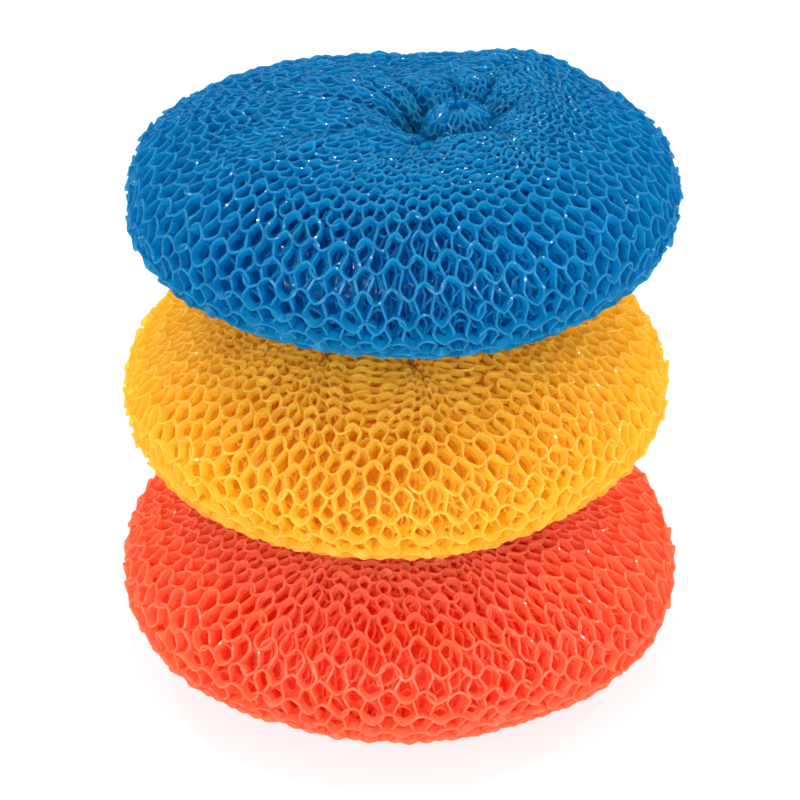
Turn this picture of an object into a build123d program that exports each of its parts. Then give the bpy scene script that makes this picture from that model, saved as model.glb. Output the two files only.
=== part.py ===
from build123d import *
import math
import os

# A stack of three round pot scrubbers, red below, yellow between and blue on top.
# Each scrubber is one knitted plastic tube, rolled outwards on itself into a bun
# whose turns all pass through a tight throat in the middle. The last end of the
# tube is drawn together, tied with thread and tucked into the throat.
# The red scrubber's axis is Z, the stack rests on Z = 0, and the front is towards -Y.

# The roll, the same for all three scrubbers, in millimetres.
scrubber_diameter = 94.0
roll_thickness = 35.0
crest_radius = 17.5
throat_radius = 5.4
dimple_depth = 9.0
rim_fullness_share = 0.62
seat_depth = 0.5
trim_overrun = 2.0

# The roll's core, which the turns are wound round, in millimetres.
core_inset = 12.0
core_thickness = 11.0
core_throat_radius = 12.3
core_dimple_depth = 5.0
turn_count = 3
turn_clearance = 0.3

# The creases that the drawn throat pulls into the upper crest: how far below the crest
# a crease starts in the throat, its half width as a share of its depth, and for each
# one how far out it reaches, as a share of the crest's radius, and the share of a full
# turn at which it lies.
crease_depth = 5.0
crease_slope_share = 0.6
crease_reach_shares = (1.2, 1.45, 1.1, 1.6, 1.2, 1.5, 1.65, 1.15, 1.35)
crease_turn_shares = (0.03, 0.14, 0.22, 0.31, 0.39, 0.46, 0.58, 0.71, 0.88)

# The drawn end and the thread round its neck, in millimetres.
end_clearance = 0.3
end_foot_height = 1.6
end_neck_radius = 3.2
end_head_clearance = 0.55
end_head_depth = 2.0
thread_clearance = 0.1
thread_diameter = 0.9
thread_turns = 3

# Where each scrubber lies in the stack: how much wider the stack's weight presses it
# and its sideways shift in millimetres, and in degrees its lean about X (positive
# lowers the front) and about Y (positive lowers the right-hand side) and its turn
# about its own axis.
stack_clearance = 0.4
stack = {
    "red": {"spread": 3.0, "shift": 0.0, "lean_x": 0.0, "lean_y": 0.0, "turn": 130.0},
    "yellow": {"spread": 0.0, "shift": -0.7, "lean_x": -0.5, "lean_y": -1.6, "turn": 75.0},
    "blue": {"spread": 0.0, "shift": 0.4, "lean_x": -6.5, "lean_y": -0.5, "turn": 0.0},
}

mesh_colours = {
    "red": Color(0.95, 0.29, 0.20),
    "yellow": Color(0.97, 0.70, 0.12),
    "blue": Color(0.02, 0.42, 0.70),
}
thread_colour = Color(0.90, 0.90, 0.88)


def between(outside, core, level):
    """A size of the roll at a level, from 0 on the outside to turn_count at the core."""
    return outside + (core - outside) * level / turn_count


def throat_at(level):
    """The throat's radius at a level: the turns are packed closest there."""
    return between(throat_radius, core_throat_radius, level)


def crest_oval(flank, height):
    """The radii of the rim's arc and of the flat arc that joins it to the crest.

    The oval reaches out by flank from the crest and up by height. The rim's arc
    takes a share of the height, and the other arc follows from their tangency.
    """
    rim = rim_fullness_share * height
    crest = (flank**2 + height**2 - 2 * flank * rim) / (2 * (height - rim))
    return rim, crest


def level_curve(diameter, level, inset=0.0):
    """The closed run of curves round one level, from the throat to the throat again.

    The dimple is a quarter of an oval down to a straight throat. The roll slips
    outwards by one level each time it passes the throat, so the upper half of a
    level starts half a level inside it and the lower half ends half a level
    outside it.
    """
    height = between(roll_thickness, core_thickness, level) / 2 - inset
    flank = diameter / 2 - between(0, core_inset, level) - inset - crest_radius
    start = throat_at(level + 0.5) + inset
    end = throat_at(level - 0.5) + inset
    rim, crest = crest_oval(flank, height)
    turn = math.degrees(math.atan2(crest - height, flank - rim))
    dimple = between(dimple_depth, core_dimple_depth, level) - inset
    brink = height - dimple
    curves = [
        Line((start, 0), (start, brink)),
        EllipticalCenterArc(
            (crest_radius, brink), crest_radius - start, dimple, start_angle=90, arc_size=90
        ),
        CenterArc((crest_radius, height - crest), crest, turn, 90 - turn),
        CenterArc((crest_radius + flank - rim, 0), rim, -turn, 2 * turn),
        CenterArc((crest_radius, crest - height), crest, -90, 90 - turn),
        EllipticalCenterArc(
            (crest_radius, -brink), crest_radius - end, dimple, start_angle=180, arc_size=90
        ),
        Line((end, -brink), (end, 0)),
    ]
    return curves, start, end


def revolved(outline):
    """The solid that a closed outline of radius and height sweeps round Z."""
    return revolve(Plane.XZ * make_face(outline), Axis.Z)


def mesh_turn(diameter, level):
    """One turn of the rolled mesh, cut in the throat where the next one starts."""
    outside, outside_start, outside_end = level_curve(diameter, level)
    inside, inside_start, inside_end = level_curve(diameter, level + 1, -turn_clearance)
    start = Line((outside_start, 0), (inside_start, 0))
    end = Line((outside_end, 0), (inside_end, 0))
    return revolved(outside + [start, end] + inside)


def mesh_core(diameter):
    """The first turn of the roll, wound tight, so its middle is filled."""
    outside, start, end = level_curve(diameter, turn_count)
    return revolved(outside + [Line((start, 0), (end, 0))])


def crease(turn_share, reach_share):
    """The wedge that cuts one crease, rising from the throat to where it fades out."""
    inner = throat_at(0.5)
    run = reach_share * crest_radius - inner
    mouth = 2 * crease_depth
    half_width = crease_slope_share * mouth
    outline = Polyline((0, 0), (half_width, mouth), (-half_width, mouth), (0, 0))
    wedge = extrude(Plane.YZ * make_face(outline), math.hypot(run, crease_depth))
    tilt = math.degrees(math.atan2(crease_depth, run))
    start = Pos(inner, 0, roll_thickness / 2 - crease_depth)
    return Rot(0, 0, 360 * turn_share) * start * Rot(0, -tilt, 0) * wedge


def creased_turn(diameter):
    """The outer turn with its upper crest creased round the throat."""
    skin = mesh_turn(diameter, 0)
    for turn_share, reach_share in zip(crease_turn_shares, crease_reach_shares):
        skin = skin - crease(turn_share, reach_share)
    return skin


def thread_top():
    """The height of the last turn of thread above the middle of the roll."""
    return end_foot_height + thread_clearance + thread_turns * thread_diameter


def drawn_end():
    """The gathered end of the tube: a foot on the last turn, a neck and a puckered head."""
    foot_radius = throat_at(0.5) - end_clearance
    neck_top = thread_top() + thread_clearance
    head_radius = throat_at(0.5) - end_head_clearance
    head_top = roll_thickness / 2 - end_head_depth
    head_middle = head_top - head_radius
    side = Polyline(
        (0, 0),
        (foot_radius, 0),
        (foot_radius, end_foot_height / 2),
        (end_neck_radius, end_foot_height),
        (end_neck_radius, neck_top),
        (head_radius, head_middle),
    )
    head = CenterArc((0, head_middle), head_radius, 0, 90)
    return revolved([side, head, Line((0, head_top), (0, 0))])


def tie_thread():
    """The thread wound round the neck: a band with one rounded ridge for each turn."""
    inner = end_neck_radius + thread_clearance
    middle = inner + thread_diameter / 2
    outer = inner + thread_diameter
    floor = thread_top() - thread_turns * thread_diameter
    ridges = [
        ThreePointArc(
            (middle, floor + turn * thread_diameter),
            (outer, floor + (turn + 0.5) * thread_diameter),
            (middle, floor + (turn + 1) * thread_diameter),
        )
        for turn in range(thread_turns)
    ]
    back = Polyline((middle, thread_top()), (inner, thread_top()), (inner, floor), (middle, floor))
    return revolved(ridges + [back])


def diameter_of(seat):
    """A scrubber's diameter where it lies in the stack."""
    return scrubber_diameter + seat["spread"]


def reach(diameter, lean):
    """How far a scrubber reaches below its middle when it leans by an angle.

    The lowest point lies on the flat arc beside the crest, so it is found from
    that arc's centre and radius.
    """
    lean = math.radians(lean)
    height = roll_thickness / 2
    crest = crest_oval(diameter / 2 - crest_radius, height)[1]
    return crest_radius * math.sin(lean) + crest - (crest - height) * math.cos(lean)


def stack_places():
    """Each scrubber's location, resting on the crest of the one below it."""
    places = {}
    middle = roll_thickness / 2 - seat_depth
    below = None
    for colour, seat in stack.items():
        if below:
            lean_x = seat["lean_x"] - below["lean_x"]
            lean_y = seat["lean_y"] - below["lean_y"]
            lean = math.hypot(lean_x, lean_y)
            middle += roll_thickness / 2 + stack_clearance + reach(diameter_of(seat), lean)
        lean = Rot(seat["lean_x"], seat["lean_y"], 0)
        places[colour] = Pos(seat["shift"], 0, middle) * lean * Rot(0, 0, seat["turn"])
        below = seat
    return places


def scrubber(diameter):
    """The pieces of one scrubber about its own middle, by name."""
    return {
        "outer_turn": creased_turn(diameter),
        "middle_turn": mesh_turn(diameter, 1),
        "inner_turn": mesh_turn(diameter, 2),
        "core_turn": mesh_core(diameter),
        "drawn_end": drawn_end(),
        "tie_thread": tie_thread(),
    }


def floor_trim(diameter):
    """The block below the floor that flattens the lowest scrubber where it rests."""
    width = diameter + 2 * trim_overrun
    depth = seat_depth + trim_overrun
    return Pos(0, 0, -depth / 2) * Box(width, width, depth)


os.makedirs("parts", exist_ok=True)
for colour, place in stack_places().items():
    diameter = diameter_of(stack[colour])
    for name, piece in scrubber(diameter).items():
        solid = place * piece
        if colour == "red" and name == "outer_turn":
            solid = solid - floor_trim(diameter)
        solid.color = thread_colour if name == "tie_thread" else mesh_colours[colour]
        export_step(solid, f"parts/{colour}_{name}.step")
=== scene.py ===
"""A stack of three knitted plastic pot scrubbers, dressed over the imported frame.

Each scrubber is a tube knitted from slit polyethylene tape and rolled on itself into a
bun, whose turns all pass through a throat in the middle. The tape of each turn is
worked out as closed strips that follow the knit over the roll's surface. Lengths are in
millimetres until a mesh is made, and in metres there.
"""
import math

import bmesh
import bpy
import numpy as np
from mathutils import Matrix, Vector


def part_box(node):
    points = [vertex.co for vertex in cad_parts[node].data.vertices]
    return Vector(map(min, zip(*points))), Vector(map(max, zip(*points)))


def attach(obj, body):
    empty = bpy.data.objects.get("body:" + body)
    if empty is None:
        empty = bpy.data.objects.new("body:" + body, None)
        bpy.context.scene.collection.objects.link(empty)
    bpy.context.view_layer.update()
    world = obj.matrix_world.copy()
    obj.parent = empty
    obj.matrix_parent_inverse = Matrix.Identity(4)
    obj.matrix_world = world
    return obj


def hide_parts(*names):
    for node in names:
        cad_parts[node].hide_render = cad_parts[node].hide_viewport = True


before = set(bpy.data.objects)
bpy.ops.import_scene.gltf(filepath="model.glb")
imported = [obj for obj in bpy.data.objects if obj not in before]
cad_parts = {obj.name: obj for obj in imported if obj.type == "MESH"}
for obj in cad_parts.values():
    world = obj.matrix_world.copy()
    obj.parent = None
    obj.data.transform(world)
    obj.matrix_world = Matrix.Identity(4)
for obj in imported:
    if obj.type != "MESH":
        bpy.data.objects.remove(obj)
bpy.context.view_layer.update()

MM = 0.001
FULL_TURN = 2 * math.pi

# The roll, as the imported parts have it: levels run from 0 on the outside to 3 at the core.
ROLL_THICKNESS = 35.0
CREST_RADIUS = 17.5
RIM_FULLNESS_SHARE = 0.62
LEVEL_DEPTH = 4.0
THROAT_RADIUS = 5.4
THROAT_DEPTH = 2.3
DIMPLE_DEPTH = 9.0
DIMPLE_STEP = 1.333

# The knit: the loops round the tube (wales), and the height of a row of loops (course)
# at the rim, over the upper crest, where the drawn throat crowds the rows, and below.
WALES = 53
RIM_COURSE = 4.5
CROWDED_COURSE = 2.0
LOWER_COURSE = 3.7
CROWDED_RADIUS = 26.0
OPEN_RADIUS = 43.0

# The radius from which the drawn throat crowds the loops more and more inwards.
GATHERED_RADIUS = 39.0

# The share of a course and of a wale by which a loop swings out, the share of a wale by
# which its legs bow, how far its head and foot rise above its legs, and how much less of
# that there is where the loops are crowded.
LOOP_RISE_SHARE = 0.71
LOOP_BULGE_SHARE = 0.128
LOOP_BOW_SHARE = 0.05
ARCH_LIFT = 0.35
FLATTER_ARCH_SHARE = 0.5

# The tape, and how much lower it stands where the loops are crowded.
TAPE_WIDTH = 1.5
TAPE_THICKNESS = 0.42
CROWDED_LOSS_SHARE = 0.42

# The tape's chance unevenness where the loops are open, and how much more of it there is
# where they are crowded: how far it goes astray in wales and courses, how far it lifts,
# and its lean as an angle. At its arches it also leans by LOOP_LEAN.
ASTRAY_SHARES = (0.06, 0.05)
CHANCE_LIFTS = (0.15, 0.1)
CHANCE_LEANS = (0.12, 0.16)
LOOP_LEAN = 0.2

# The chance swells of a surface and the drift of its loops, as sine waves: how many there
# are, and the lowest and highest of their turns round the tube, climb along it, phase and
# size.
SWELLS = (8, (1, -0.35, 0, 0.25), (6, 0.35, FULL_TURN, 0.6))
DRIFTS = (6, (1, -0.5, 0, 0.1), (7, 0.5, FULL_TURN, 0.3))
HEAD_SWELLS = (5, (1, -0.8, 0, 0.3), (5, 0.8, FULL_TURN, 0.8))

# How much a swell widens and heightens the roll, the radii between which it comes in, how
# much a swell does to the drawn end's head, and how far the loops' drift goes round the
# tube for each course that it goes along it.
WIDENING_SHARE = 0.006
HEIGHTENING_SHARE = 0.02
SWOLLEN_RADII = (8.0, 24.0)
HEAD_SWELL_SHARE = 0.07
SIDEWAYS_DRIFT_SHARE = 0.6

# Where the blue scrubber's upper side is pressed in or stands up by chance: the place
# beside its axis, the half width, and the height.
BLUE_DENTS = (
    (3.0, 27.0, 14.0, -4.0),
    (23.0, 27.0, 9.0, 1.2),
    (-20.0, 26.0, 14.0, -1.3),
    (38.0, 6.0, 12.0, 1.8),
    (-39.0, 6.0, 12.0, 2.2),
)

# Each scrubber's diameter, its lean about X and about Y in degrees, its sideways shift
# beside its packed place, where its upper pucker lies beside the axis, the turn of its
# creases in degrees, its dents, and the seed of its chance unevenness.
STACK = {
    "red": {"diameter": 97.0, "lean": (0.0, 0.0), "shift": 0.0, "pucker": (1.0, -2.0),
            "turn": 130.0, "dents": (), "seed": 11},
    "yellow": {"diameter": 94.0, "lean": (-0.5, -1.6), "shift": 0.0, "pucker": (-3.0, 1.0),
               "turn": 75.0, "dents": (), "seed": 23},
    "blue": {"diameter": 95.8, "lean": (-6.5, -0.5), "shift": 0.3, "pucker": (7.0, 1.0),
             "turn": 0.0, "dents": BLUE_DENTS, "seed": 37},
}

# The creases of the drawn throat: where each lies as a share of a full turn, how far out
# it reaches as a share of the crest's radius, their depth, how far the pleats between
# them stand out as a share of that, how strongly the loops crowd into them, how much
# further out than the creases they do so, the share of its reach over which a crease
# fades out, and the heights above and below the roll's middle between which it does.
CREASE_TURN_SHARES = (0.03, 0.14, 0.22, 0.31, 0.39, 0.46, 0.58, 0.71, 0.88)
CREASE_REACH_SHARES = (1.2, 1.45, 1.1, 1.6, 1.2, 1.5, 1.65, 1.15, 1.35)
CREASE_DEPTH = 3.4
PLEAT_RISE_SHARE = 0.15
CREASE_CROWDING = 0.72
CROWDING_REACH = 1.5
CREASE_FADE_SHARE = 0.6
CREASED_HEIGHTS = (1.0, 7.0)

# The radii between which the upper side follows the pucker's shift, and the heights
# between which the roll counts as its upper side, both from not at all to fully.
SHIFTED_RADII = (34.5, 7.5)
UPPER_HEIGHTS = (-2.0, 6.0)

# The step in loops and courses over which a surface's normal is worked out.
NORMAL_STEP = 0.06

# Each layer of mesh: the turn it stands for, its halves, the level of its tape's outer
# edge, the samples along each loop, the share of a loop by which it is shifted, and how
# much of the painted highlight on its outward edge it keeps: painted shade, less of it
# the deeper the layer lies, though its tape is the same.
LAYERS = (
    {"turn": "outer", "halves": ("_upper", "_lower"), "level": 0.17, "samples": 16,
     "shift_share": 0.0, "lit_edge_share": 1.0},
    {"turn": "middle", "halves": ("",), "level": 0.62, "samples": 10,
     "shift_share": 0.37, "lit_edge_share": 0.7},
    {"turn": "inner", "halves": ("",), "level": 1.10, "samples": 8,
     "shift_share": 0.71, "lit_edge_share": 0.5},
)

# The core's surface: its level, samples along each loop and down each course, how far
# its knit stands out, and how far up the tape's width its ridges and the drawn end's
# body count as.
CORE_LEVEL = 1.6
CORE_SAMPLES = (6, 4)
CORE_RELIEF = 0.9
CORE_ACROSS_SHARE = 0.45
BODY_ACROSS_SHARE = 0.4

# How far the lowest tape stays above the floor that it is pressed against.
FLOOR_GAP = 0.02

# The drawn end: the head's radius and half height, the height of its middle above the
# roll's, the share of the pucker's shift that it leans over by, its loops, courses and
# samples along each loop, the angle from its top at which they start and that each course
# takes, its tape, the body under them and the angle from the top at which that starts, the
# neck and foot below it, and what is added to a scrubber's seed for its swells and loops.
HEAD_RADIUS = 6.9
HEAD_HALF_HEIGHT = 5.8
HEAD_MIDDLE = 10.6
HEAD_LEAN_SHARE = 1.35
HEAD_WALES = 15
HEAD_COURSES = 5
HEAD_SAMPLES = 12
HEAD_TOP_FALL = 0.42
HEAD_COURSE_FALL = 0.36
HEAD_TAPE_WIDTH = 1.2
BODY_INSET = 1.3
BODY_FALL = 2.4
NECK_RADIUS = 3.2
FOOT_RADIUS = 6.2
FOOT_HEIGHT = 1.6
SWELL_SEED_STEP = 7
LOOP_SEED_STEP = 71

# How close, in metres, the points of a tube that is drawn to a point have to be to count
# as one.
POLE_GAP = 1e-7

# The thread round the neck: its diameter and turns, the coil's radius and the height of
# its lowest turn above the roll's middle, how thick it is made, so that its turns stay
# apart, its strands, how often they pass in a turn and how far they stand out, and the
# power that says how suddenly its ends taper.
THREAD_DIAMETER = 0.9
THREAD_TURNS = 3
THREAD_COIL_RADIUS = 3.75
THREAD_FLOOR = 2.15
THREAD_FULLNESS_SHARE = 0.96
THREAD_STRANDS = 3
STRAND_PASSES = 9
STRAND_SHARE = 0.08
TAPER_POWER = 40


def arc(centre, reach, start, end, count):
    """Points of a circular or elliptical arc from one angle to another, without the last."""
    angle = np.linspace(start, end, count, endpoint=False)
    return centre[0] + reach[0] * np.cos(angle), centre[1] + reach[1] * np.sin(angle)


def section(diameter, level, count=160):
    """The roll's section at a level, as radius and height from the upper throat to the lower.

    It is a straight throat, a quarter of an ellipse up out of it, a flat arc out from the
    crest, a tighter arc round the rim, and the same back below.
    """
    height = ROLL_THICKNESS / 2 - LEVEL_DEPTH * level
    flank = diameter / 2 - LEVEL_DEPTH * level - CREST_RADIUS
    rim = RIM_FULLNESS_SHARE * height
    crest = (flank ** 2 + height ** 2 - 2 * flank * rim) / (2 * (height - rim))
    turn = math.atan2(crest - height, flank - rim)
    dimple = DIMPLE_DEPTH - DIMPLE_STEP * level
    brink = height - dimple
    upper = CREST_RADIUS - THROAT_RADIUS - THROAT_DEPTH * (level + 0.5)
    lower = CREST_RADIUS - THROAT_RADIUS - THROAT_DEPTH * (level - 0.5)
    quarter = math.pi / 2
    throat = np.linspace(0, brink, count // 4, endpoint=False)
    arcs = [
        (np.full_like(throat, CREST_RADIUS - upper), throat),
        arc((CREST_RADIUS, brink), (upper, dimple), 2 * quarter, quarter, count),
        arc((CREST_RADIUS, height - crest), (crest, crest), quarter, turn, count),
        arc((CREST_RADIUS + flank - rim, 0), (rim, rim), turn, -turn, count),
        arc((CREST_RADIUS, crest - height), (crest, crest), -turn, -quarter, count),
        arc((CREST_RADIUS, -brink), (lower, dimple), -quarter, -2 * quarter, count),
        (np.full_like(throat, CREST_RADIUS - lower), -throat[::-1]),
    ]
    radius = np.concatenate([part[0] for part in arcs])
    return radius, np.concatenate([part[1] for part in arcs])


def unit(vectors, shortest=1e-12):
    """Vectors of length one, from any that aren't shorter than the shortest."""
    return vectors / np.maximum(np.linalg.norm(vectors, axis=-1, keepdims=True), shortest)


def smooth_step(values):
    """Values held to 0 and 1 and eased between them."""
    held = np.clip(values, 0, 1)
    return held * held * (3 - 2 * held)


def passed(values, ends):
    """How far values have gone from one end to the other, as a share."""
    start, stop = ends
    return (values - start) / (stop - start)


def pleated(angle, turn):
    """Angles crowded towards the creases, the share of a pleat across, and its creases' reach.

    Between two creases the share t becomes t - k sin(2 pi t) / (2 pi), so the loops open
    on the pleat's ridge and close up beside its creases.
    """
    starts = FULL_TURN * np.array(CREASE_TURN_SHARES) + math.radians(turn)
    widths = np.diff(np.append(starts, starts[0] + FULL_TURN))
    whole = starts[0] + (angle - starts[0]) % FULL_TURN
    pleat = np.clip(np.searchsorted(starts, whole, side="right") - 1, 0, len(starts) - 1)
    share = (whole - starts[pleat]) / widths[pleat]
    crowded = -CREASE_CROWDING * np.sin(FULL_TURN * share) / FULL_TURN * widths[pleat]
    reaches = CREST_RADIUS * np.array(CREASE_REACH_SHARES)
    ease = smooth_step(share)
    reach = reaches[pleat] * (1 - ease) + reaches[(pleat + 1) % len(reaches)] * ease
    return crowded, share, reach


def chance_waves(rng, kind):
    """Sine waves drawn by chance: the turns, climb, phase and size of each."""
    count, lowest, highest = kind
    return rng.uniform(lowest, highest, (count, len(lowest)))


class Surface:
    """A surface that loops are laid on, whose point() takes a wale and a row."""

    def frame_at(self, wale, row):
        """The point there and the surface's outward normal, from small steps each way."""
        along = self.point(wale + NORMAL_STEP, row) - self.point(wale - NORMAL_STEP, row)
        down = self.point(wale, row + NORMAL_STEP) - self.point(wale, row - NORMAL_STEP)
        return self.point(wale, row), unit(np.cross(down, along))


class Roll(Surface):
    """One level's surface, from loops round (wales) and rows of loops (courses) to points."""

    def __init__(self, colour, level):
        seat = STACK[colour]
        self.turn = seat["turn"]
        self.pucker = seat["pucker"]
        self.dents = seat["dents"]
        self.radius, self.height = section(seat["diameter"], level)
        step = np.hypot(np.diff(self.radius), np.diff(self.height))
        middle = (self.radius[1:] + self.radius[:-1]) / 2
        share = smooth_step(passed(middle, (CROWDED_RADIUS, OPEN_RADIUS)))
        inner = np.where(self.height[1:] > 0, CROWDED_COURSE, LOWER_COURSE)
        course = inner + (RIM_COURSE - inner) * share
        rows = np.concatenate([[0], np.cumsum(step / course)])
        self.courses = int(round(rows[-1]))
        self.rows = rows * self.courses / rows[-1]
        slope = np.stack([np.gradient(self.radius), np.gradient(self.height)])
        self.inward = unit(np.stack([slope[1], -slope[0]], axis=-1))
        rng = np.random.default_rng(seat["seed"])
        self.swells = chance_waves(rng, SWELLS)
        self.drifts = chance_waves(rng, DRIFTS)

    def gathered(self, row):
        """How much the drawn throat crowds the loops at a row, from 0 at the rim to 1."""
        radius = np.interp(row, self.rows, self.radius)
        return smooth_step(passed(radius, (GATHERED_RADIUS, CREST_RADIUS)))

    def point(self, wale, row):
        """The surface point at a wale and a row, both counted from zero."""
        drift = uneven(self.drifts, FULL_TURN * wale / WALES, row)
        held = np.clip(row + drift, 0, self.courses)
        radius = np.interp(held, self.rows, self.radius)
        height = np.interp(held, self.rows, self.height)
        inward = [np.interp(held, self.rows, self.inward[:, k]) for k in (0, 1)]
        angle = FULL_TURN * (wale + SIDEWAYS_DRIFT_SHARE * drift) / WALES - math.pi / 2
        crowded, share, reach = pleated(angle, self.turn)
        off_middle = smooth_step(passed(np.abs(height), CREASED_HEIGHTS))
        drawn = smooth_step((reach - radius) / (CREASE_FADE_SHARE * reach)) * off_middle
        wide = CROWDING_REACH * reach
        closing = smooth_step((wide - radius) / (CREASE_FADE_SHARE * wide)) * off_middle
        angle = angle + crowded * closing
        valley = (0.5 + 0.5 * np.cos(FULL_TURN * share)) ** 2
        sunk = CREASE_DEPTH * drawn * (valley - PLEAT_RISE_SHARE)
        radius = radius + sunk * inward[0]
        height = height + sunk * inward[1]
        swell = uneven(self.swells, angle, row) * np.clip(passed(radius, SWOLLEN_RADII), 0, 1)
        x = radius * np.cos(angle) * (1 + WIDENING_SHARE * swell)
        y = radius * np.sin(angle) * (1 + WIDENING_SHARE * swell)
        z = height * (1 + HEIGHTENING_SHARE * swell)
        upper = smooth_step(passed(z, UPPER_HEIGHTS))
        shifted = upper * smooth_step(passed(radius, SHIFTED_RADII))
        x = x + self.pucker[0] * shifted
        y = y + self.pucker[1] * shifted
        for middle_x, middle_y, width, rise in self.dents:
            apart = ((x - middle_x) ** 2 + (y - middle_y) ** 2) / width ** 2
            z = z + rise * upper * np.exp(-apart)
        return np.stack([x, y, z], axis=-1)


def uneven(waves, angle, row):
    """A sum of sine waves round the tube and along it, for unevenness by chance."""
    total = np.zeros_like(angle + row)
    for turns, climb, phase, size in waves:
        total = total + size * np.sin(np.round(turns) * angle + climb * row + phase)
    return total


def eased(values, position):
    """Values at whole positions of a closed row, joined by cosine easing."""
    low = np.floor(position).astype(int)
    ease = (1 - np.cos(math.pi * (position - low))) / 2
    count = values.shape[-1]
    return values[..., low % count] * (1 - ease) + values[..., (low + 1) % count] * ease


def knit_strips(surface, wales, courses, samples, rng, shift_share=0.0, width=TAPE_WIDTH):
    """Corner points of every course of tape, shaped (course, sample, corner, xyz).

    A loop's path is wale = i + t + bulge * sin(4 pi t) - bow * sin(8 pi t) and row = j +
    1/2 + rise * cos(2 pi t): one arch at t = 0 and the other at t = 1/2. The legs bow apart
    beside one arch and together beside the other, so the holes are six-sided. The tape
    stands on edge, its width along the surface's normal, and it leans and lifts by chance
    at each arch, most where the loops are crowded.
    """
    place = np.arange(wales * samples) / samples
    course = np.arange(courses)[:, None]
    chance = rng.normal(size=(4, courses, 2 * wales))
    nudge = [eased(chance[k], 2 * place) for k in range(4)]
    phase = FULL_TURN * place
    crowd = surface.gathered(course + 0.5)
    astray, rise, tilt = (
        low + more * crowd for low, more in (ASTRAY_SHARES, CHANCE_LIFTS, CHANCE_LEANS)
    )
    width = width * (1 - CROWDED_LOSS_SHARE * crowd)
    wale = place + LOOP_BULGE_SHARE * np.sin(2 * phase) - LOOP_BOW_SHARE * np.sin(4 * phase)
    wale = wale + astray * nudge[0] + shift_share
    row = course + 0.5 + LOOP_RISE_SHARE * np.cos(phase) + astray * nudge[1]
    centre, normal = surface.frame_at(wale, row)
    arch = ARCH_LIFT * (1 - FLATTER_ARCH_SHARE * crowd) * np.cos(2 * phase)
    lift = arch + rise * nudge[2] - width / 2
    centre = centre + normal * lift[..., None]
    along = unit(np.roll(centre, -1, axis=1) - np.roll(centre, 1, axis=1))
    side = unit(np.cross(along, normal))
    lean = tilt * nudge[3] + LOOP_LEAN * np.cos(phase)
    upright = unit(normal * np.cos(lean)[..., None] + side * np.sin(lean)[..., None])
    flat = unit(np.cross(along, upright))
    across = upright * (width / 2)[..., None]
    thick = flat * TAPE_THICKNESS / 2
    corners = [across + thick, across - thick, -across - thick, -across + thick]
    return np.stack(corners, axis=2) + centre[:, :, None, :]


def strip_quads(courses, samples):
    """Quads round each closed strip of four corners, pointing outwards."""
    course = np.arange(courses)[:, None, None]
    sample = np.arange(samples)[None, :, None]
    corner = np.arange(4)[None, None, :]
    turned = (corner + 1) % 4
    following = (sample + 1) % samples
    row = course * samples
    quads = [
        (row + sample) * 4 + corner,
        (row + following) * 4 + corner,
        (row + following) * 4 + turned,
        (row + sample) * 4 + turned,
    ]
    return np.stack(np.broadcast_arrays(*quads), axis=-1).reshape(-1, 4)


def strip_uv(courses, samples, per_loop, lit_edge_share=1.0):
    """Each quad corner's place on the tape: loops along it, and 0 to 1 across to its outer edge."""
    sample = np.arange(samples)[None, :, None]
    # The outer edge's place across is held at the given share: below the highlight's start, the
    # deeper layers' edges lose the painted highlight, as painted shade.
    edge = np.array([lit_edge_share, lit_edge_share, 0.0, 0.0])
    following_edge = np.roll(edge, -1)
    along = [sample, sample + 1, sample + 1, sample]
    across = [edge, edge, following_edge, following_edge]
    shape = (courses, samples, 4)
    pairs = [
        np.stack([np.broadcast_to(u / per_loop, shape), np.broadcast_to(v, shape)], axis=-1)
        for u, v in zip(along, across)
    ]
    return np.stack(pairs, axis=-2).reshape(-1, 2)


def turn_about(axis, degrees):
    """The rotation about X or Y by an angle, as a matrix."""
    cos, sin = math.cos(math.radians(degrees)), math.sin(math.radians(degrees))
    if axis == "X":
        return np.array([[1, 0, 0], [0, cos, -sin], [0, sin, cos]])
    return np.array([[cos, 0, sin], [0, 1, 0], [-sin, 0, cos]])


def closed_grid(rows, columns):
    """Quads over a grid of points that closes on itself both ways."""
    row = np.arange(rows)[:, None]
    column = np.arange(columns)[None, :]
    below, beside = (row + 1) % rows, (column + 1) % columns
    quads = [
        row * columns + column,
        below * columns + column,
        below * columns + beside,
        row * columns + beside,
    ]
    return np.stack(np.broadcast_arrays(*quads), axis=-1).reshape(-1, 4)


def grid_uv(across):
    """Each quad corner's place on the tape, from the places across it of a closed grid."""
    below = np.roll(across, -1, 0)
    corners = [across, below, np.roll(below, -1, 1), np.roll(across, -1, 1)]
    shade = np.stack(corners, axis=-1).reshape(-1)
    return np.stack([np.zeros_like(shade), shade], axis=-1)


def place_in_stack(points, colour):
    """Points about a scrubber's own middle, leaned and set where its packed turns lie."""
    low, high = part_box(colour + "_middle_turn")
    middle = np.array((low + high) / 2)
    lean_x, lean_y = STACK[colour]["lean"]
    middle[0] += STACK[colour]["shift"] * MM
    placed = points @ (turn_about("X", lean_x) @ turn_about("Y", lean_y)).T * MM + middle
    if colour == "red":
        placed[..., 2] = np.maximum(placed[..., 2], FLOOR_GAP * MM)
    return placed


def mesh_object(name, points, quads, uv):
    """An object from points in metres and quads, with a UV map of places on the tape."""
    mesh = bpy.data.meshes.new(name)
    mesh.vertices.add(len(points))
    mesh.vertices.foreach_set("co", points.astype(np.float32).ravel())
    mesh.loops.add(quads.size)
    mesh.loops.foreach_set("vertex_index", quads.astype(np.int32).ravel())
    mesh.polygons.add(len(quads))
    mesh.polygons.foreach_set("loop_start", np.arange(0, quads.size, 4, dtype=np.int32))
    mesh.update(calc_edges=True)
    layer = mesh.uv_layers.new(name="Tape")
    layer.data.foreach_set("uv", uv.astype(np.float32).ravel())
    made = bpy.data.objects.new(name, mesh)
    bpy.context.scene.collection.objects.link(made)
    return made


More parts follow.
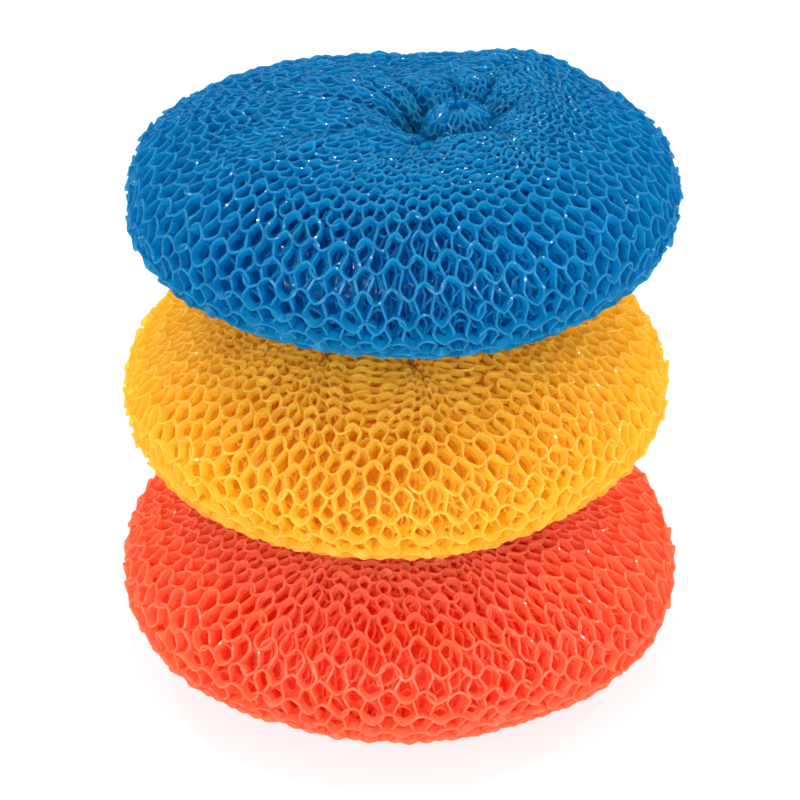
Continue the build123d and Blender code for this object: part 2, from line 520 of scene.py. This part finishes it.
def close_poles(mesh):
    """Join the points that fall together where a tube is drawn to a point."""
    shape = bmesh.new()
    shape.from_mesh(mesh)
    bmesh.ops.remove_doubles(shape, verts=shape.verts, dist=POLE_GAP)
    shape.to_mesh(mesh)
    shape.free()


def sharpen_tape(mesh):
    """Keep the tape's four long edges crisp, and its faces smooth along the tape."""
    ends = np.empty(len(mesh.edges) * 2, dtype=np.int32)
    mesh.edges.foreach_get("vertices", ends)
    ends = ends.reshape(-1, 2) % 4
    sharp = mesh.attributes.new("sharp_edge", "BOOLEAN", "EDGE")
    sharp.data.foreach_set("value", ends[:, 0] == ends[:, 1])


def linear(hex_colour):
    """An sRGB hex colour as linear RGBA."""
    values = [int(hex_colour[k:k + 2], 16) / 255 for k in (0, 2, 4)]
    return [v / 12.92 if v <= 0.04045 else ((v + 0.055) / 1.055) ** 2.4 for v in values] + [1.0]


def node(tree, kind, settings=None, **links):
    """Add a node, set its sockets and properties, and link its inputs to other nodes' sockets."""
    made = tree.nodes.new(kind)
    for key, value in (settings or {}).items():
        sockets = [socket for socket in made.inputs if socket.name == key and socket.enabled]
        if sockets:
            sockets[0].default_value = value
        else:
            setattr(made, key, value)
    for key, socket in links.items():
        tree.links.new(socket, made.inputs[key])
    return made


# What one pass through or off the tape leaves of white light, on its walls and at its slit
# edge, whose tint is part of a painted highlight there. Light passes many layers of it,
# which makes the deep colour of the mesh. The core has a deeper colour from the start,
# because its tape lies wound on itself.
TAPE_TINTS = {
    "blue": {"wall": "18C6EA", "edge": "2AB4DC", "wound": "0690CA"},
    "yellow": {"wall": "FFF072", "edge": "FFE46C", "wound": "FFCE4C"},
    "red": {"wall": "FFB688", "edge": "FFAA84", "wound": "FF8258"},
}

# How much of the light goes straight through the tape, through its walls, through its
# outward slit edge, made less clear than the walls as a painted highlight, and through the
# wound core, how much that changes between milkier and clearer patches, the patches' size
# and where their noise counts as milkiest and clearest, and how much of the rest is
# scattered through to the other side.
CLEAR_WALL_SHARE = 0.62
CLEAR_LIT_EDGE_SHARE = 0.48
CLEAR_WOUND_SHARE = 0.12
MILKINESS_SHARE = 0.08
MILKY_PATCH = 3.0
CLOUD_SHARES = (0.3, 0.7)
SCATTERED_SHARE = 0.55

# Where across the tape's width the painted highlight on its outward slit edge starts.
LIT_EDGE_START_SHARE = 0.75

# The fine lines that the tape is drawn out with: how many lie across it, how far along
# it, in loops, one runs before it fades, and their height and strength.
LINES_ACROSS = 9.0
LINE_LENGTH = 1.6
LINE_RELIEF = 0.03
LINE_STRENGTH = 0.5

# The tape's refraction, and its roughness between its smooth strips and its drawn lines.
TAPE_IOR = 1.51
SMOOTHEST = 0.05
ROUGHEST = 0.2


def tape_material(colour, wound=False):
    """Slit polyethylene tape, extruded and knitted: glossy, milky and see-through to light.

    Its outward slit edge has its own tint and is less clear than its walls, a painted
    highlight that shows it as a bright line, its walls carry the fine lines that they are
    drawn out with, and it is milkier in some places than in others. Wound on itself in
    the core, it hides what is behind it.
    """
    tints = TAPE_TINTS[colour]
    wall = tints["wound" if wound else "wall"]
    clear_share = CLEAR_WOUND_SHARE if wound else CLEAR_WALL_SHARE
    kind = "_wound_tape" if wound else "_slit_tape"
    material = bpy.data.materials.new(colour + "_polyethylene" + kind)
    material.use_nodes = True
    tree = material.node_tree
    tree.nodes.clear()
    uv = node(tree, "ShaderNodeUVMap", {"uv_map": "Tape"})
    split = node(tree, "ShaderNodeSeparateXYZ", Vector=uv.outputs["UV"])
    # The painted highlight's mask: 0 across the walls, rising to 1 at the tape's outward slit edge.
    edge = node(
        tree,
        "ShaderNodeMapRange",
        {"From Min": LIT_EDGE_START_SHARE},
        Value=split.outputs["Y"],
    )
    stretched = node(
        tree,
        "ShaderNodeMapping",
        {"Scale": (1 / LINE_LENGTH, LINES_ACROSS, 1.0)},
        Vector=uv.outputs["UV"],
    )
    lines = node(
        tree,
        "ShaderNodeTexNoise",
        {"Scale": 1.0, "Detail": 2.0},
        Vector=stretched.outputs["Vector"],
    )
    relief = node(
        tree,
        "ShaderNodeBump",
        {"Strength": LINE_STRENGTH, "Distance": LINE_RELIEF * MM},
        Height=lines.outputs["Fac"],
    )
    place = node(tree, "ShaderNodeTexCoord")
    cloud = node(
        tree,
        "ShaderNodeTexNoise",
        {"Scale": 1 / (MILKY_PATCH * MM), "Detail": 1.0},
        Vector=place.outputs["Object"],
    )
    milkiest, clearest = CLOUD_SHARES
    milk = node(
        tree,
        "ShaderNodeMapRange",
        {
            "From Min": milkiest,
            "From Max": clearest,
            "To Min": -MILKINESS_SHARE,
            "To Max": MILKINESS_SHARE,
        },
        Value=cloud.outputs["Fac"],
    )
    # The outward edge's own tint, mixed in by that mask as part of the painted highlight.
    tint = node(
        tree,
        "ShaderNodeMix",
        {"data_type": "RGBA", "A": linear(wall), "B": linear(tints["edge"])},
    )
    tree.links.new(edge.outputs["Result"], tint.inputs["Factor"])
    colour_out = tint.outputs[2]
    sheen = node(
        tree,
        "ShaderNodeMapRange",
        {"To Min": SMOOTHEST, "To Max": ROUGHEST},
        Value=lines.outputs["Fac"],
    )
    gloss = node(
        tree,
        "ShaderNodeBsdfPrincipled",
        {"IOR": TAPE_IOR},
        Roughness=sheen.outputs["Result"],
        Normal=relief.outputs["Normal"],
        **{"Base Color": colour_out},
    )
    through = node(tree, "ShaderNodeBsdfTranslucent", Color=colour_out)
    milky = node(tree, "ShaderNodeMixShader", {"Fac": SCATTERED_SHARE})
    tree.links.new(gloss.outputs["BSDF"], milky.inputs[1])
    tree.links.new(through.outputs["BSDF"], milky.inputs[2])
    clear = node(tree, "ShaderNodeBsdfTransparent", Color=colour_out)
    # The outward edge is less clear than the walls, so it scatters more light back: part of the
    # painted highlight.
    openness = node(
        tree,
        "ShaderNodeMapRange",
        {"To Min": clear_share, "To Max": CLEAR_LIT_EDGE_SHARE},
        Value=edge.outputs["Result"],
    )
    varied = node(tree, "ShaderNodeMath", {"operation": "ADD", "use_clamp": True})
    tree.links.new(openness.outputs["Result"], varied.inputs[0])
    tree.links.new(milk.outputs["Result"], varied.inputs[1])
    mixed = node(tree, "ShaderNodeMixShader", Fac=varied.outputs["Value"])
    tree.links.new(milky.outputs["Shader"], mixed.inputs[1])
    tree.links.new(clear.outputs["BSDF"], mixed.inputs[2])
    output = node(tree, "ShaderNodeOutputMaterial")
    tree.links.new(mixed.outputs["Shader"], output.inputs["Surface"])
    return material


def make_layer(colour, layer, material):
    """One layer of knitted tape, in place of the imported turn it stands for."""
    roll = Roll(colour, layer["level"])
    samples = layer["samples"]
    rng = np.random.default_rng(STACK[colour]["seed"] + samples)
    strips = knit_strips(roll, WALES, roll.courses, samples, rng, layer["shift_share"])
    halves = np.array_split(strips, len(layer["halves"]))
    for half, corners in zip(layer["halves"], halves):
        courses, around = corners.shape[:2]
        points = place_in_stack(corners.reshape(-1, 3), colour)
        name = f"{colour}_{layer['turn']}_mesh{half}"
        # Deeper layers keep less of the painted highlight on their edges: painted shade.
        uv = strip_uv(courses, around, samples, layer["lit_edge_share"])
        made = mesh_object(name, points, strip_quads(courses, around), uv)
        sharpen_tape(made.data)
        made.data.materials.append(material)
        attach(made, colour + "_scrubber")
        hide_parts(f"{colour}_{layer['turn']}_turn")


def make_core(colour, material):
    """The tube's first turns, wound tight: a closed ring with the knit standing out of it.

    Its hollows follow |sin(pi wale)| times |sin(pi row)|, with every second row shifted by
    half a loop, and its ridges are what is left between them.
    """
    roll = Roll(colour, CORE_LEVEL)
    around, down = CORE_SAMPLES
    wale = np.arange(WALES * around)[None, :] / around
    row = np.arange(roll.courses * down)[:, None] / down
    centre, normal = roll.frame_at(wale + 0 * row, row + 0 * wale)
    cell = np.abs(np.sin(math.pi * (wale + 0.5 * np.floor(row))) * np.sin(math.pi * row))
    ridge = 1 - cell
    points = centre + normal * (CORE_RELIEF * ridge - CORE_RELIEF)[..., None]
    made = mesh_object(
        colour + "_core_mesh",
        place_in_stack(points.reshape(-1, 3), colour),
        closed_grid(*ridge.shape),
        grid_uv(CORE_ACROSS_SHARE * ridge),
    )
    made.data.materials.append(material)
    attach(made, colour + "_scrubber")
    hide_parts(colour + "_core_turn")


class Head(Surface):
    """The gathered end's domed head, leaning towards the pucker, from loops and courses."""

    def __init__(self, colour, inset=0.0):
        seat = STACK[colour]
        self.shift = [HEAD_LEAN_SHARE * part for part in seat["pucker"]]
        self.inset = inset
        rng = np.random.default_rng(seat["seed"] + SWELL_SEED_STEP)
        self.swells = chance_waves(rng, HEAD_SWELLS)

    def gathered(self, row):
        """The head's loops are crowded all over."""
        return np.ones_like(row)

    def at(self, turn, fall):
        """The point at an angle round and an angle down from the top."""
        swell = 1 + HEAD_SWELL_SHARE * uneven(self.swells, turn, 2 * fall) * np.sin(fall)
        radius = (HEAD_RADIUS - self.inset) * np.sin(fall) * swell
        z = HEAD_MIDDLE + (HEAD_HALF_HEIGHT - self.inset) * np.cos(fall) * swell
        lean = smooth_step(z / HEAD_MIDDLE)
        x = radius * np.cos(turn) + self.shift[0] * lean
        y = radius * np.sin(turn) + self.shift[1] * lean
        return np.stack([x, y, z], axis=-1)

    def point(self, wale, row):
        """The surface point at a wale and a row, counted from the drawn top."""
        return self.at(FULL_TURN * wale / HEAD_WALES, HEAD_TOP_FALL + HEAD_COURSE_FALL * row)


def end_body(colour, count=40, around=36):
    """The gathered end under its skin: foot, neck and head, as rings of points upwards."""
    head = Head(colour, BODY_INSET)
    turn = FULL_TURN * np.arange(around) / around
    rings = [
        np.stack([radius * np.cos(turn), radius * np.sin(turn), np.full(around, float(z))], axis=-1)
        for radius, z in (
            (0.0, 0.0),
            (FOOT_RADIUS, 0.0),
            (FOOT_RADIUS, FOOT_HEIGHT / 2),
            (NECK_RADIUS, FOOT_HEIGHT),
            (NECK_RADIUS, THREAD_FLOOR + THREAD_DIAMETER * THREAD_TURNS),
        )
    ]
    falls = np.linspace(BODY_FALL, 0.0, count)
    rings += [head.at(turn, np.full(around, fall)) for fall in falls]
    return np.stack(rings)


def tube_quads(rings, around):
    """Quads between the rings of a tube, closed round but not end to end."""
    grid = closed_grid(rings, around).reshape(rings, around, 4)
    return grid[:-1, :, ::-1].reshape(-1, 4)


def make_drawn_end(colour, material):
    """The tube's last end, gathered, tied and tucked in: a knitted skin over a filled body."""
    head = Head(colour)
    rng = np.random.default_rng(STACK[colour]["seed"] + LOOP_SEED_STEP)
    strips = knit_strips(
        head, HEAD_WALES, HEAD_COURSES, HEAD_SAMPLES, rng, width=HEAD_TAPE_WIDTH
    )
    courses, round_samples = strips.shape[:2]
    body = end_body(colour)
    skin_quads = strip_quads(courses, round_samples)
    skin_uv = strip_uv(courses, round_samples, HEAD_SAMPLES)
    skin_points = strips.reshape(-1, 3)
    body_quads = tube_quads(*body.shape[:2]) + len(skin_points)
    body_uv = np.tile([0.0, BODY_ACROSS_SHARE], (body_quads.size, 1))
    points = np.concatenate([skin_points, body.reshape(-1, 3)])
    made = mesh_object(
        colour + "_drawn_end_mesh",
        place_in_stack(points, colour),
        np.concatenate([skin_quads, body_quads]),
        np.concatenate([skin_uv, body_uv]),
    )
    sharpen_tape(made.data)
    close_poles(made.data)
    made.data.materials.append(material)
    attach(made, colour + "_scrubber")
    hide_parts(colour + "_drawn_end")


# The thread's colour, roughness and sheen, and its strands' fine waves: how close they
# lie, how crooked they are, and their strength and height.
THREAD_COLOUR = "ECEAE2"
THREAD_ROUGHNESS = 0.75
THREAD_SHEEN = 0.3
STRAND_WAVES = 3.0
STRAND_DISTORTION = 1.0
STRAND_STRENGTH = 0.4
STRAND_RELIEF = 0.1


def thread_material():
    """Twisted polyester sewing thread: off-white and dull."""
    material = bpy.data.materials.new("twisted_polyester_thread")
    material.use_nodes = True
    tree = material.node_tree
    tree.nodes.clear()
    uv = node(tree, "ShaderNodeUVMap", {"uv_map": "Tape"})
    strands = node(
        tree,
        "ShaderNodeTexWave",
        {"Scale": STRAND_WAVES, "Distortion": STRAND_DISTORTION},
        Vector=uv.outputs["UV"],
    )
    bump = node(
        tree,
        "ShaderNodeBump",
        {"Strength": STRAND_STRENGTH, "Distance": STRAND_RELIEF * MM},
        Height=strands.outputs["Fac"],
    )
    fibre = node(
        tree,
        "ShaderNodeBsdfPrincipled",
        {
            "Base Color": linear(THREAD_COLOUR),
            "Roughness": THREAD_ROUGHNESS,
            "Sheen Weight": THREAD_SHEEN,
        },
        Normal=bump.outputs["Normal"],
    )
    output = node(tree, "ShaderNodeOutputMaterial")
    tree.links.new(fibre.outputs["BSDF"], output.inputs["Surface"])
    return material


def make_thread(colour, material, around=12, per_turn=40):
    """The thread round the neck: a helix of a twisted tube, its ends tapered shut."""
    count = THREAD_TURNS * per_turn + 1
    share = np.linspace(0, 1, count)[:, None]
    turn = FULL_TURN * THREAD_TURNS * share
    side = -FULL_TURN * np.arange(around)[None, :] / around
    taper = np.sqrt(np.clip(1 - (2 * share - 1) ** TAPER_POWER, 0, 1))
    twist = 1 + STRAND_SHARE * np.cos(THREAD_STRANDS * side + STRAND_PASSES * turn)
    half = THREAD_DIAMETER / 2 * THREAD_FULLNESS_SHARE * taper * twist
    radius = THREAD_COIL_RADIUS + half * np.cos(side)
    rise = (THREAD_TURNS - 1) * THREAD_DIAMETER * share
    z = THREAD_FLOOR + rise + half * np.sin(side)
    points = np.stack([radius * np.cos(turn), radius * np.sin(turn), z], axis=-1)
    quads = tube_quads(count, around)
    uv = np.tile([[0.0, 0.0], [1.0, 0.0], [1.0, 1.0], [0.0, 1.0]], (len(quads), 1))
    made = mesh_object(
        colour + "_tie_thread_coil", place_in_stack(points.reshape(-1, 3), colour), quads, uv
    )
    close_poles(made.data)
    made.data.materials.append(material)
    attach(made, colour + "_scrubber")
    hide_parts(colour + "_tie_thread")


# The floor's width in metres, its grey, and how far the camera, and what the tape mirrors,
# see it as plain white, so that only a light shadow is left.
FLOOR_WIDTH = 6.0
FLOOR_GREY = (0.9, 0.9, 0.9, 1.0)
FLOOR_WHITENING_SHARE = 0.75

# The point in metres that the lamps face, and each lamp's place and width in metres and
# its power in watts. The small ones make the glints on the tape.
LAMP_AIM = (0.0, 0.0, 0.05)
LAMPS = {
    "key": ((-0.4, -1.0, 0.6), 0.5, 6.5),
    "fill": ((0.6, -0.9, 0.5), 0.5, 4.0),
    "left_spark": ((-0.5, 0.35, 0.9), 0.045, 2.2),
    "right_spark": ((0.7, 0.2, 0.8), 0.045, 2.0),
    "back_spark": ((0.1, 0.8, 0.7), 0.045, 2.0),
    "top_spark": ((-0.1, -0.1, 1.1), 0.045, 1.8),
    "left_low_spark": ((-0.9, -0.35, 0.35), 0.045, 1.6),
    "right_low_spark": ((0.9, -0.4, 0.3), 0.045, 1.6),
    "front_spark": ((0.15, -1.05, 0.3), 0.045, 1.6),
}


def make_stage():
    """A white floor that keeps the stack's soft shadow, and an even white surround."""
    half = FLOOR_WIDTH / 2
    mesh = bpy.data.meshes.new("floor")
    corners = [(-half, -half, 0), (half, -half, 0), (half, half, 0), (-half, half, 0)]
    mesh.from_pydata(corners, [], [(0, 1, 2, 3)])
    floor = bpy.data.objects.new("floor", mesh)
    bpy.context.scene.collection.objects.link(floor)
    material = bpy.data.materials.new("white_floor")
    material.use_nodes = True
    tree = material.node_tree
    tree.nodes.clear()
    diffuse = node(tree, "ShaderNodeBsdfDiffuse", {"Color": FLOOR_GREY})
    bright = node(tree, "ShaderNodeEmission", {"Color": (1, 1, 1, 1), "Strength": 1.0})
    path = node(tree, "ShaderNodeLightPath")
    mirrored = node(tree, "ShaderNodeMath", {"operation": "MAXIMUM"})
    tree.links.new(path.outputs["Is Glossy Ray"], mirrored.inputs[0])
    tree.links.new(path.outputs["Is Transmission Ray"], mirrored.inputs[1])
    seen = node(tree, "ShaderNodeMath", {"operation": "MAXIMUM"})
    tree.links.new(path.outputs["Is Camera Ray"], seen.inputs[0])
    tree.links.new(mirrored.outputs["Value"], seen.inputs[1])
    whitened = node(tree, "ShaderNodeMath", {"operation": "MULTIPLY"})
    tree.links.new(seen.outputs["Value"], whitened.inputs[0])
    whitened.inputs[1].default_value = FLOOR_WHITENING_SHARE
    mixed = node(tree, "ShaderNodeMixShader", Fac=whitened.outputs["Value"])
    tree.links.new(diffuse.outputs["BSDF"], mixed.inputs[1])
    tree.links.new(bright.outputs["Emission"], mixed.inputs[2])
    output = node(tree, "ShaderNodeOutputMaterial")
    tree.links.new(mixed.outputs["Shader"], output.inputs["Surface"])
    mesh.materials.append(material)
    world = bpy.data.worlds.new("studio")
    bpy.context.scene.world = world
    world.use_nodes = True
    tree = world.node_tree
    tree.nodes.clear()
    white = node(tree, "ShaderNodeBackground", {"Color": (1, 1, 1, 1), "Strength": 1.0})
    output = node(tree, "ShaderNodeOutputWorld")
    tree.links.new(white.outputs["Background"], output.inputs["Surface"])


def make_light(name, place, size, power):
    """A square soft lamp that faces the stack."""
    data = bpy.data.lights.new(name, "AREA")
    data.size = size
    data.energy = power
    lamp = bpy.data.objects.new(name, data)
    lamp.location = place
    aim(lamp, LAMP_AIM)
    bpy.context.scene.collection.objects.link(lamp)


def aim(thing, target):
    """Turn a camera or lamp so that it looks at a point."""
    direction = Vector(target) - Vector(thing.location)
    thing.rotation_euler = direction.to_track_quat("-Z", "Y").to_euler()


# The camera: its height above the level of the stack's middle as an angle, its distance
# and how far it sees in metres, the pixels that a millimetre takes up in a frame 800
# pixels wide, and the point that it looks at.
CAMERA_ELEVATION = 32.6
CAMERA_DISTANCE = 1.5
VIEW_DEPTH = 20.0
PIXELS_PER_MM = 5.84
FRAME_PIXELS = 800
SENSOR_WIDTH = 36.0
AIM = (0.0002, 0.0, 0.0495)


def make_camera():
    """A long lens at the photograph's angle."""
    data = bpy.data.cameras.new("camera")
    data.sensor_width = SENSOR_WIDTH
    data.lens = PIXELS_PER_MM * CAMERA_DISTANCE / MM * SENSOR_WIDTH / FRAME_PIXELS
    data.clip_end = VIEW_DEPTH
    camera = bpy.data.objects.new("camera", data)
    lift = math.radians(CAMERA_ELEVATION)
    back = CAMERA_DISTANCE * math.cos(lift)
    camera.location = (AIM[0], AIM[1] - back, AIM[2] + CAMERA_DISTANCE * math.sin(lift))
    aim(camera, AIM)
    bpy.context.scene.collection.objects.link(camera)
    bpy.context.scene.camera = camera


thread = thread_material()
for colour in STACK:
    tape = tape_material(colour)
    for layer in LAYERS:
        make_layer(colour, layer, tape)
    make_core(colour, tape_material(colour, wound=True))
    make_drawn_end(colour, tape)
    make_thread(colour, thread)

make_stage()
for name, (place, size, power) in LAMPS.items():
    make_light(name, place, size, power)
make_camera()
bpy.context.scene.view_settings.view_transform = "Standard"
# Light has to pass many layers of tape before it fades.
bpy.context.scene.cycles.max_bounces = 14
bpy.context.scene.cycles.diffuse_bounces = 7
bpy.context.scene.cycles.transmission_bounces = 12
bpy.context.scene.cycles.transparent_max_bounces = 14
